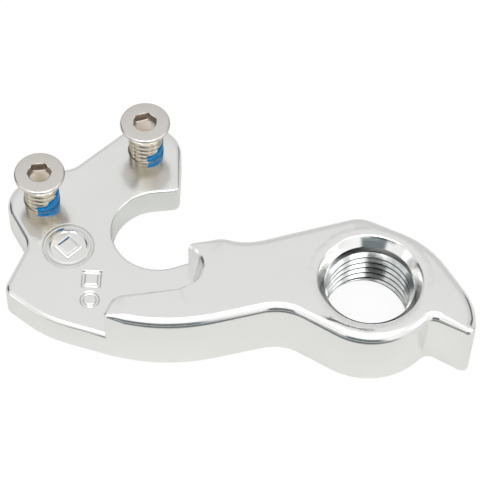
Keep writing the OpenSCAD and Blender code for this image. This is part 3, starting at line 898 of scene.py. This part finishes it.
def patch_mesh(name, centre, head_top, first, last, left_h, climb):
    draws = np.random.default_rng(SEED).normal(0, 1, COLUMNS + 1 + 2 * BEYOND)
    smoothed = np.convolve(draws, np.ones(NEIGHBOURS) / NEIGHBOURS, "same")
    uneven = UNEVEN * smoothed[BEYOND : BEYOND + COLUMNS + 1]
    shape = bmesh.new()
    thread_start = head_top - SCREW_L + THREAD_LOW
    outer, inner = [], []
    for i in range(COLUMNS + 1):
        share = i / COLUMNS
        turn = math.radians(first + (last - first) * share)
        top = min(PATCH_LOW + left_h + climb * share + uneven[i], PATCH_TOP)
        outer.append([])
        inner.append([])
        for j in range(ROWS + 1):
            z = PATCH_LOW + (top - PATCH_LOW) * j / ROWS
            radius = patch_radius(share, j, turn, z - thread_start)
            for line, r in ((outer[-1], radius), (inner[-1], PATCH_BACK_R)):
                point = (mm(centre[0] + r * math.cos(turn)), mm(centre[1] + r * math.sin(turn)), mm(z))
                line.append(shape.verts.new(point))
    for i in range(COLUMNS):
        out, beside, back, back_beside = outer[i], outer[i + 1], inner[i], inner[i + 1]
        for j in range(ROWS):
            shape.faces.new((out[j], beside[j], beside[j + 1], out[j + 1]))
            shape.faces.new((back[j], back[j + 1], back_beside[j + 1], back_beside[j]))
        shape.faces.new((beside[0], out[0], back[0], back_beside[0]))
        shape.faces.new((out[ROWS], beside[ROWS], back_beside[ROWS], back[ROWS]))
    for j in range(ROWS):
        shape.faces.new((outer[0][j], outer[0][j + 1], inner[0][j + 1], inner[0][j]))
        shape.faces.new((outer[-1][j + 1], outer[-1][j], inner[-1][j], inner[-1][j + 1]))
    face_outwards(shape)
    mesh = mesh_from(shape, name)
    shade_by_angle(mesh, PATCH_SHARP_FROM)
    return mesh


left_patch = patch_mesh("left_patch_nylon", LEFT_HOLE, LEFT_HEAD_TOP, *LEFT_SWEEP, left_h=0.5, climb=2.0)
put_in_scene("left_patch_nylon", left_patch, nylon, "lock_patch", "left_thread_patch")
right_patch = patch_mesh(
    "right_patch_nylon", RIGHT_HOLE, RIGHT_HEAD_TOP, *RIGHT_SWEEP, left_h=0.9, climb=1.2
)
put_in_scene("right_patch_nylon", right_patch, nylon, "lock_patch", "right_thread_patch")

# %% [markdown]
# ## Floor
#
# The part lies on a plain white table. A camera ray sees the table almost white, and the rest of it takes
# the light as a matt surface does, so the part's soft shadow stays and its metal mirrors a pale table.
# Mirror rays alone see three soft ovals on it: a grey cloth in front, which draws the dark line along the
# front edges, a faint painted shade inside the opening, and a painted shade below the derailleur hole, where
# the hole's own shadow falls. Real cloths would do the same, but the camera would see them too.

# %% The table and what the metal mirrors on it
paper, tree = new_material("white_paper")
place = add_node(tree, "ShaderNodeTexCoord").outputs["Object"]
ray = add_node(tree, "ShaderNodeLightPath").outputs
# each oval's middle and half widths in millimetres, its colour, and the softness of its edge
MIRRORED_OVALS = {
    "grey cloth in front": ((-12, -44), (42, 27), "#707878", 0.1),
    "faint shade inside the opening": ((-24, 8.5), (7, 7), "#ECEEEC", 0.2),
    # painted shade: the shadow under the derailleur hole, which only the mirrored thread shows
    "painted shade below the derailleur hole": ((0.8, 2.8), (2.4, 2.8), "#2A2E30", 0.2),
}


def mirrored_oval(tree, place, mirror_ray, colour_below, middle, halves, colour, soft):
    shifted = {0: place, 1: (mm(middle[0]), mm(middle[1]), 0.0)}
    away = add_node(tree, "ShaderNodeVectorMath", shifted, operation="SUBTRACT")
    scaled = {0: away.outputs[0], 1: (1 / mm(halves[0]), 1 / mm(halves[1]), 0.0)}
    away = add_node(tree, "ShaderNodeVectorMath", scaled, operation="MULTIPLY")
    reach = add_node(tree, "ShaderNodeVectorMath", {0: away.outputs[0]}, operation="LENGTH")
    edge = {
        "Value": reach.outputs["Value"],
        "From Min": 1 - soft,
        "From Max": 1 + soft,
        "To Min": 1.0,
        "To Max": 0.0,
    }
    inside = add_node(tree, "ShaderNodeMapRange", edge).outputs[0]
    share = add_node(tree, "ShaderNodeMath", {0: inside, 1: mirror_ray}, operation="MULTIPLY")
    colours = {SHARE: share.outputs[0], COLOUR_A: colour_below, COLOUR_B: linear(colour)}
    return add_node(tree, "ShaderNodeMix", colours, data_type="RGBA").outputs[MIXED_COLOUR]


shade = linear("#F6F6F4")
for oval in MIRRORED_OVALS.values():
    shade = mirrored_oval(tree, place, ray["Is Glossy Ray"], shade, *oval)
matt = add_node(tree, "ShaderNodeBsdfDiffuse", {"Color": shade})
# the camera sees 0.85 of this glow and the rest of the matt paper, which together come out white
glow = add_node(tree, "ShaderNodeEmission", {"Color": WHITE, "Strength": 1.07})
share = add_node(tree, "ShaderNodeMath", {0: ray["Is Camera Ray"], 1: 0.85}, operation="MULTIPLY")
both = add_node(tree, "ShaderNodeMixShader", {0: share.outputs[0], 1: matt.outputs[0], 2: glow.outputs[0]})
add_node(tree, "ShaderNodeOutputMaterial", {"Surface": both.outputs[0]})
print("mirrored on the table:", ", ".join(MIRRORED_OVALS))

# %% [markdown]
# The table is one large square, half a hair's breadth below the part, so that the two never share a plane.

# %% The table's top
shape = bmesh.new()
bmesh.ops.create_grid(shape, x_segments=1, y_segments=1, size=1.5)
floor_mesh = mesh_from(shape, "floor")
floor_mesh.materials.append(paper)
floor = new_object("floor", floor_mesh)
floor.location.z = mm(-0.02)
print("table top", in_mm(-floor.location.z), "mm below the part")

# %% [markdown]
# ## Studio light
#
# Polished metal shows the room and little else, so the room is drawn with care. A photograph of a studio
# could light the part, but then nothing in it could be moved. So the room is built from nodes: it is pale,
# and it gets brighter towards the side behind the camera, where the large softbox stands. That gives the
# broad white band along the front edges.

# %% The pale room
world = bpy.data.worlds.new("studio")
bpy.context.scene.world = world
world.use_nodes = True
tree = world.node_tree
tree.nodes.clear()
direction = add_node(tree, "ShaderNodeTexCoord").outputs["Generated"]
parts = add_node(tree, "ShaderNodeSeparateXYZ", {"Vector": direction}).outputs
# how bright the room is at each height, from the horizon at 0 to straight above at 1
ROOM = ((0.0, 0.66), (0.7, 0.7), (0.82, 0.83), (0.92, 0.84), (1.0, 0.81))
height = add_node(tree, "ShaderNodeValToRGB", {"Fac": parts["Z"]})
stops = height.color_ramp.elements
for level, value in ROOM[1:-1]:
    stops.new(level)
for stop, (level, value) in zip(stops, ROOM):
    stop.position = level
    stop.color = (value, value, value, 1)
front = add_node(
    tree,
    "ShaderNodeMapRange",
    {"Value": parts["Y"], "From Min": -0.9, "From Max": 0.2, "To Min": 1.6, "To Max": 1.0},
)
room = add_node(
    tree,
    "ShaderNodeVectorMath",
    {0: height.outputs["Color"], "Scale": front.outputs[0]},
    operation="SCALE",
).outputs[0]
print("room with", len(stops), "levels of brightness")

# %% [markdown]
# A few soft dark things stand in the room. They give the metal its contrast, as black cards and stands do
# in a real studio: the patch at the back of the countersink, the thin line under the white band, and the
# grey on the left edges and on the wall of the opening's mouth. Each one dims a soft-edged field of the
# room, which is found by its compass turn and its height above the horizon.

# %% Dark things in the room
# each one's turn from +X and its height, its half width and half height, its colour, and its soft edge;
# all angles are in degrees
DARK_THINGS = {
    "stand in front": (-94, 9, 24, 15, "#6A757A", 6.0),
    "low table in front": (-102, 1.5, 36, 6.5, "#6C7476", 4.0),
    "stand at the left": (168, 12, 24, 22, "#747A7E", 8.0),
    "high card at the left": (194, 34, 18, 11, "#74787C", 7.0),
    "low shade at the right": (0, 2, 24, 8, "#B0B4B8", 8.0),
    "stand behind the right": (34, 6, 18, 14, "#74787C", 8.0),
}


def dark_thing(tree, direction, brightness, turn, rise, half_turn, half_rise, colour, soft):
    along = (math.cos(math.radians(turn)), math.sin(math.radians(turn)), 0.0)
    across = (-math.sin(math.radians(turn)), math.cos(math.radians(turn)), 0.0)
    ahead = add_node(tree, "ShaderNodeVectorMath", {0: direction, 1: along}, operation="DOT_PRODUCT")
    aside = add_node(tree, "ShaderNodeVectorMath", {0: direction, 1: across}, operation="DOT_PRODUCT")
    sides = {0: aside.outputs["Value"], 1: ahead.outputs["Value"]}
    angle = add_node(tree, "ShaderNodeMath", sides, operation="ARCTAN2")
    upwards = add_node(tree, "ShaderNodeSeparateXYZ", {"Vector": direction}).outputs["Z"]
    high = add_node(tree, "ShaderNodeMath", {0: upwards}, operation="ARCSINE")
    above = {0: high.outputs[0], 1: math.radians(rise)}
    high = add_node(tree, "ShaderNodeMath", above, operation="SUBTRACT")
    share = 1.0
    for value, half in ((angle, half_turn), (high, half_rise)):
        size = add_node(tree, "ShaderNodeMath", {0: value.outputs[0]}, operation="ABSOLUTE")
        edge = {
            "Value": size.outputs[0],
            "From Min": math.radians(half - soft / 2),
            "From Max": math.radians(half + soft / 2),
            "To Min": 1.0,
            "To Max": 0.0,
        }
        inside = add_node(tree, "ShaderNodeMapRange", edge, interpolation_type="SMOOTHSTEP").outputs[0]
        share = add_node(tree, "ShaderNodeMath", {0: share, 1: inside}, operation="MULTIPLY").outputs[0]
    colours = {SHARE: share, COLOUR_A: brightness, COLOUR_B: linear(colour)}
    dimmed = add_node(tree, "ShaderNodeMix", colours, data_type="RGBA", blend_type="MULTIPLY")
    return dimmed.outputs[MIXED_COLOUR]


for thing in DARK_THINGS.values():
    room = dark_thing(tree, direction, room, *thing)
print("in the room:", ", ".join(DARK_THINGS))

# %% [markdown]
# Mirror rays see this room, camera rays see plain white, and all other rays get an even light, which fills
# the shadows.

# %% What each ray sees of the room
ray = add_node(tree, "ShaderNodeLightPath").outputs
mirrored = add_node(tree, "ShaderNodeBackground", {"Color": room, "Strength": 1.0})
even = add_node(tree, "ShaderNodeBackground", {"Color": WHITE, "Strength": 0.55})
white = add_node(tree, "ShaderNodeBackground", {"Color": WHITE, "Strength": 1.0})
unseen = {0: ray["Is Glossy Ray"], 1: even.outputs[0], 2: mirrored.outputs[0]}
unseen = add_node(tree, "ShaderNodeMixShader", unseen)
seen = {0: ray["Is Camera Ray"], 1: unseen.outputs[0], 2: white.outputs[0]}
seen = add_node(tree, "ShaderNodeMixShader", seen)
add_node(tree, "ShaderNodeOutputWorld", {"Surface": seen.outputs[0]})
print("world:", world.name, "with", len(tree.nodes), "nodes")

# %% [markdown]
# Three softboxes give the shadows and the soft shine. The large one hangs above and a little in front, where
# the flat top face doesn't mirror it to a camera straight above, and two weak ones stand at the sides.

# %% Softboxes
PART_MIDDLE = Vector((-0.015, 0.005, 0.0))


def softbox(name, place, width, height, watts):
    lamp = bpy.data.lights.new(name, "AREA")
    lamp.shape = "RECTANGLE"
    lamp.size = width
    lamp.size_y = height
    lamp.energy = watts
    box = new_object(name, lamp)
    box.location = place
    box.rotation_euler = (PART_MIDDLE - Vector(place)).to_track_quat("-Z", "Y").to_euler()
    print(name, width, "x", height, "m,", watts, "W")


softbox("ceiling_softbox", (0.0, -0.19, 0.47), 0.5, 0.3, 0.8)
softbox("left_softbox", (-0.5, -0.1, 0.25), 0.3, 0.4, 0.25)
softbox("right_softbox", (0.5, -0.1, 0.25), 0.3, 0.4, 0.25)

# %% [markdown]
# A black card leans over the derailleur hole. Only mirror rays meet it, and it stands edge-on to what the top
# face mirrors, so it shows in one place alone: as the dark band down the middle of the thread.

# %% Black card
CARD_MIDDLE = Vector((-2.5, -4.0, 14.0))
CARD_SIDE = Vector((3.2, 0.0, 0.0))
CARD_LEAN = Vector((0.0, 0.565, 0.825))
CARD_LOW, CARD_HIGH = -1.4, 3.0
black, tree = new_material("black_card")
met = add_node(tree, "ShaderNodeLightPath").outputs["Is Glossy Ray"]
clear = add_node(tree, "ShaderNodeBsdfTransparent", {"Color": WHITE})
dark = add_node(tree, "ShaderNodeEmission", {"Color": linear("#141618"), "Strength": 1.0})
both = add_node(tree, "ShaderNodeMixShader", {0: met, 1: clear.outputs[0], 2: dark.outputs[0]})
add_node(tree, "ShaderNodeOutputMaterial", {"Surface": both.outputs[0]})
steps = ((-1, CARD_LOW), (1, CARD_LOW), (1, CARD_HIGH), (-1, CARD_HIGH))
corners = [CARD_MIDDLE + across * CARD_SIDE + up * CARD_LEAN for across, up in steps]
card_mesh = bpy.data.meshes.new("black_card")
card_mesh.from_pydata([corner / 1000 for corner in corners], [], [(0, 1, 2, 3)])
card_mesh.materials.append(black)
card = new_object("black_card", card_mesh)
print("black card from", round(corners[0].z, 2), "to", round(corners[2].z, 2), "mm high")

# %% [markdown]
# ## Camera
#
# The photograph was taken with a long lens from in front and above, about 56 degrees down, with the part
# almost filling the width. The camera could be turned by eye, but its place was worked out from the part's
# outlines, so its lens, pitch and roll are written as they came out.

# %% Camera
# radians: 55.7 degrees down, and turned by 2 degrees about the line of sight
PITCH = 0.9713826
ROLL = -0.0353813
AIM = Vector((mm(-14.357), mm(10.125), 0.0))
DISTANCE = 237.39
SENSOR = 36.0
FOCAL_PIXELS = 2064.1
PHOTO_PIXELS = 480
forward = Vector((0, math.cos(PITCH), -math.sin(PITCH)))
level_up = Vector((0, math.sin(PITCH), math.cos(PITCH)))
right = Vector((math.cos(ROLL), 0, 0)) - math.sin(ROLL) * level_up
up = Vector((math.sin(ROLL), 0, 0)) + math.cos(ROLL) * level_up
camera_data = bpy.data.cameras.new("camera")
camera_data.sensor_width = SENSOR
camera_data.lens = FOCAL_PIXELS / PHOTO_PIXELS * SENSOR
camera_data.clip_start = 0.01
camera_data.clip_end = 10.0
camera = new_object("camera", camera_data)
spot = AIM - forward * mm(DISTANCE)
camera.matrix_world = Matrix.Translation(spot) @ Matrix((right, up, -forward)).transposed().to_4x4()
bpy.context.scene.camera = camera
bpy.context.scene.view_settings.view_transform = "Standard"
print("camera at", [round(v * 1000, 2) for v in spot], "mm with a", round(camera_data.lens, 1), "mm lens")
